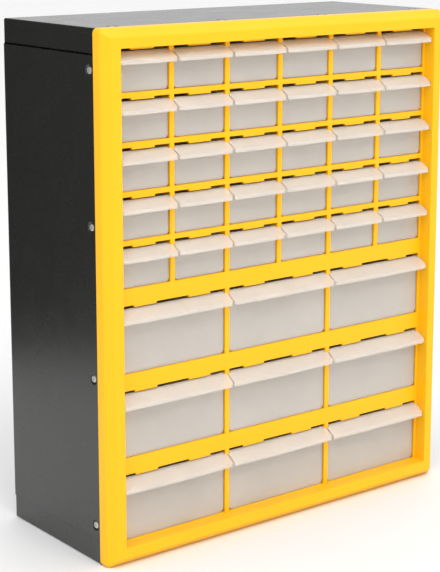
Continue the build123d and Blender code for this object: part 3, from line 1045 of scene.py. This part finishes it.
class CABINET_OT_screws(Operator):
    """Model a screw and set four in each side"""

    bl_idname = "cabinet.screws"
    bl_label = "Screws"

    def execute(self, context):
        material = screw_steel(context.scene.cabinet_shell)
        screw = model_screw()
        for side in SCREW_TURNS:
            name = f"screw_heads_{side}"
            piece = join_all([add_copy(screw, seat) for seat in screw_seats(side)], name)
            finish_piece(piece, name, CABINET_BODY, material, [f"screws_{side}"])
        bpy.data.objects.remove(screw, do_unlink=True)
        return {"FINISHED"}


# ---------------------------------------------------------------- bins


def mould_tub(name, low, high, wall, corner):
    """The bin's tub: a block with its lower edges rounded, hollowed from above."""
    tub = add_box(name, low, high)
    edit(tub)
    pick_faces(tub, lambda middle, normal: normal.z > FACES_ALONG)
    bpy.ops.mesh.inset(thickness=wall)
    extrude_by((0, 0, low.z + wall - high.z))
    for floor_z, radius, segments in ((low.z + wall, corner - wall, TUB_INNER_STEPS),
                                      (low.z, corner, TUB_OUTER_STEPS)):
        bevel_edges(tub, lambda a, b: near(a.z, floor_z) and near(b.z, floor_z)
                    and near(a.x, b.x), radius, segments)
    return tub


def raise_tabs(tub, rear_y, wall, places):
    """Stop tabs that stand on the rim of the rear wall."""
    def rear_rim(middle, normal):
        return normal.z > FACES_ALONG and middle.y > rear_y - wall

    edges = [x + side * TAB_WIDE / 2 for x in places for side in (-1, 1)]
    split_faces(tub, rear_rim, "X", edges)
    pick_faces(tub, lambda middle, normal: rear_rim(middle, normal)
               and any(abs(middle.x - x) < TAB_WIDE / 2 for x in places))
    extrude_by((0, 0, TAB_RISE))


def raise_ribs(tub, low, high, wall):
    """A pair of ribs inside the front and the rear wall, which take a partition."""
    middle_x = (low.x + high.x) / 2
    near_edge, far_edge = RIB_GAP / 2, RIB_GAP / 2 + RIB
    edges = [middle_x + side * away for side in (-1, 1) for away in (near_edge, far_edge)]
    for wall_y, facing in ((low.y + wall, 1), (high.y - wall, -1)):
        def inner_wall(middle, normal):
            return normal.y * facing > FACES_ALONG and near(middle.y, wall_y)

        split_faces(tub, inner_wall, "X", edges)
        pick_faces(tub, lambda middle, normal: inner_wall(middle, normal)
                   and near_edge < abs(middle.x - middle_x) < far_edge)
        extrude_by((0, facing * RIB, 0))


def draw_lip(tub, low, high, drop, bow):
    """Draw the lip out of the front wall: neck, wings, slope, turned-down rim and bow."""
    slope = drop / LIP_REACH
    front_y, lip_low_x, lip_high_x = low.y, low.x - WING, high.x + WING
    middle_x = (low.x + high.x) / 2
    end_y = front_y - LIP_REACH
    rim_y = front_y - LIP_REACH + RIM_DEEP

    def front_wall(middle, normal):
        return normal.y < -FACES_ALONG and near(middle.y, front_y)

    split_faces(tub, front_wall, "Z", [high.z - LIP_ROOT])
    pick_faces(tub, lambda middle, normal: front_wall(middle, normal)
               and middle.z > high.z - LIP_ROOT)
    neck = LIP_REACH - WING_DEPTH
    extrude_by((0, -neck, -neck * slope))
    extrude_by((0, 0, 0))
    bpy.ops.transform.resize(value=((lip_high_x - lip_low_x) / (high.x - low.x), 1, 1),
                             center_override=(middle_x, 0, 0))
    run = front_y - neck - rim_y
    extrude_by((0, -run, -run * slope))
    extrude_by((0, -RIM_DEEP, -RIM_DEEP * slope))
    pick_faces(tub, lambda middle, normal: normal.z < -FACES_ROUGHLY and middle.y < rim_y)
    extrude_by((0, 0, -RIM_DROP))
    bevel_edges(tub, lambda a, b: near(a.x, b.x) and near(a.y, b.y) and near(a.y, end_y),
                LIP_CORNER, LIP_STEPS)

    # The bow: the lip is cut into strips, and each cut's front part moves out
    width = lip_high_x - lip_low_x
    strips = [lip_low_x + width * i / BOW_STRIPS for i in range(1, BOW_STRIPS)]
    split_faces(tub, lambda middle, normal: middle.y < front_y - neck - MARGIN, "X", strips)
    for x in strips:
        share = 1 - ((x - middle_x) / (width / 2)) ** 2
        pick_edges(tub, lambda a, b: near(a.x, x) and near(b.x, x)
                   and max(a.y, b.y) < rim_y + MARGIN)
        bpy.ops.transform.translate(value=(0, -bow * share, 0))
    bpy.ops.mesh.select_all(action="SELECT")
    bpy.ops.mesh.dissolve_degenerate(threshold=MERGE_DISTANCE)


def model_bin(node, name, settings, corner, drop, tabs, ribs):
    """One bin, modelled where its CAD node is."""
    node_low, node_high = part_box(node)
    low = Vector((node_low.x + WING, node_low.y + LIP_REACH, node_low.z))
    high = Vector((node_high.x - WING, node_high.y, node_high.z - TAB_RISE))
    tub = mould_tub(name, low, high, settings.wall, corner)
    raise_tabs(tub, high.y, settings.wall, [node_low.x + x for x in tabs])
    if ribs:
        raise_ribs(tub, low, high, settings.wall)
    draw_lip(tub, low, high, drop, settings.lip_bow)
    done()
    round_edges(tub, settings.edge_round, BIN_FOLD_DEGREES)
    return tub


def make_bins(context, size, rows, columns, corner, drop, tabs, ribs):
    """Model the first bin of a size and copy it to every cell; tabs are places from its left."""
    settings = context.scene.cabinet_drawers
    first = f"drawer_{size}_r1_c1"
    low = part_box(first)[0]
    tub = model_bin(first, f"bin_{size}", settings, corner, drop, tabs, ribs)
    material = bpy.data.materials.get("drawer_frosted") or drawer_plastic(settings)
    for row in range(1, rows + 1):
        for column in range(1, columns + 1):
            cell = f"{size}_r{row}_c{column}"
            node = f"drawer_{cell}"
            piece = add_copy(tub, Matrix.Translation(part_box(node)[0] - low))
            finish_piece(piece, f"bin_{cell}", node, material, [node])
    bpy.data.objects.remove(tub, do_unlink=True)


class CABINET_OT_small_drawers(Operator):
    """Mould the small bins"""

    bl_idname = "cabinet.small_drawers"
    bl_label = "Small Bins"

    def execute(self, context):
        low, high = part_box("drawer_small_r1_c1")
        make_bins(context, "small", SMALL_ROWS, SMALL_COLUMNS, SMALL_CORNER, SMALL_LIP_DROP,
                  tabs=((high.x - low.x) / 2,), ribs=False)
        return {"FINISHED"}


class CABINET_OT_large_drawers(Operator):
    """Mould the large bins"""

    bl_idname = "cabinet.large_drawers"
    bl_label = "Large Bins"

    def execute(self, context):
        low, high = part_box("drawer_large_r1_c1")
        tab = LARGE_TAB_INSET + LIP_OVERHANG
        make_bins(context, "large", LARGE_ROWS, LARGE_COLUMNS, LARGE_CORNER, LARGE_LIP_DROP,
                  tabs=(tab, high.x - low.x - tab), ribs=True)
        return {"FINISHED"}


# ---------------------------------------------------------------- panel and main


class CABINET_PT_panel(Panel):
    """Lists the steps that dress the cabinet."""

    bl_idname = "CABINET_PT_panel"
    bl_label = "Parts Bin Cabinet"
    bl_space_type = "VIEW_3D"
    bl_region_type = "UI"
    bl_category = "Cabinet"

    def draw(self, context):
        layout = self.layout
        for title, settings, steps in (
                ("Front Frame", context.scene.cabinet_frame,
                 ("cabinet.front_frame", "cabinet.guides")),
                ("Shell", context.scene.cabinet_shell, ("cabinet.shell", "cabinet.screws")),
                ("Bins", context.scene.cabinet_drawers,
                 ("cabinet.small_drawers", "cabinet.large_drawers")),
                ("Stage", context.scene.cabinet_stage, ("cabinet.stage",))):
            box = layout.box()
            box.label(text=title)
            for name in settings.__annotations__:
                box.prop(settings, name)
            for step in steps:
                box.operator(step)


SETTINGS = {
    "cabinet_frame": FrameSettings,
    "cabinet_shell": ShellSettings,
    "cabinet_drawers": DrawerSettings,
    "cabinet_stage": StageSettings,
}
CLASSES = (
    *SETTINGS.values(),
    CABINET_OT_stage,
    CABINET_OT_front_frame,
    CABINET_OT_guides,
    CABINET_OT_shell,
    CABINET_OT_screws,
    CABINET_OT_small_drawers,
    CABINET_OT_large_drawers,
    CABINET_PT_panel,
)


def register():
    """Register the classes and hang the settings on the scene."""
    for cls in CLASSES:
        bpy.utils.register_class(cls)
    for name, cls in SETTINGS.items():
        setattr(bpy.types.Scene, name, PointerProperty(type=cls))


def unregister():
    """Undo register()."""
    for name in SETTINGS:
        delattr(bpy.types.Scene, name)
    for cls in reversed(CLASSES):
        bpy.utils.unregister_class(cls)


def main():
    """Dress the cabinet, step by step."""
    register()
    bpy.ops.cabinet.front_frame()
    bpy.ops.cabinet.guides()
    bpy.ops.cabinet.shell()
    bpy.ops.cabinet.screws()
    bpy.ops.cabinet.small_drawers()
    bpy.ops.cabinet.large_drawers()
    bpy.ops.cabinet.stage()


if __name__ == "__main__":
    main()
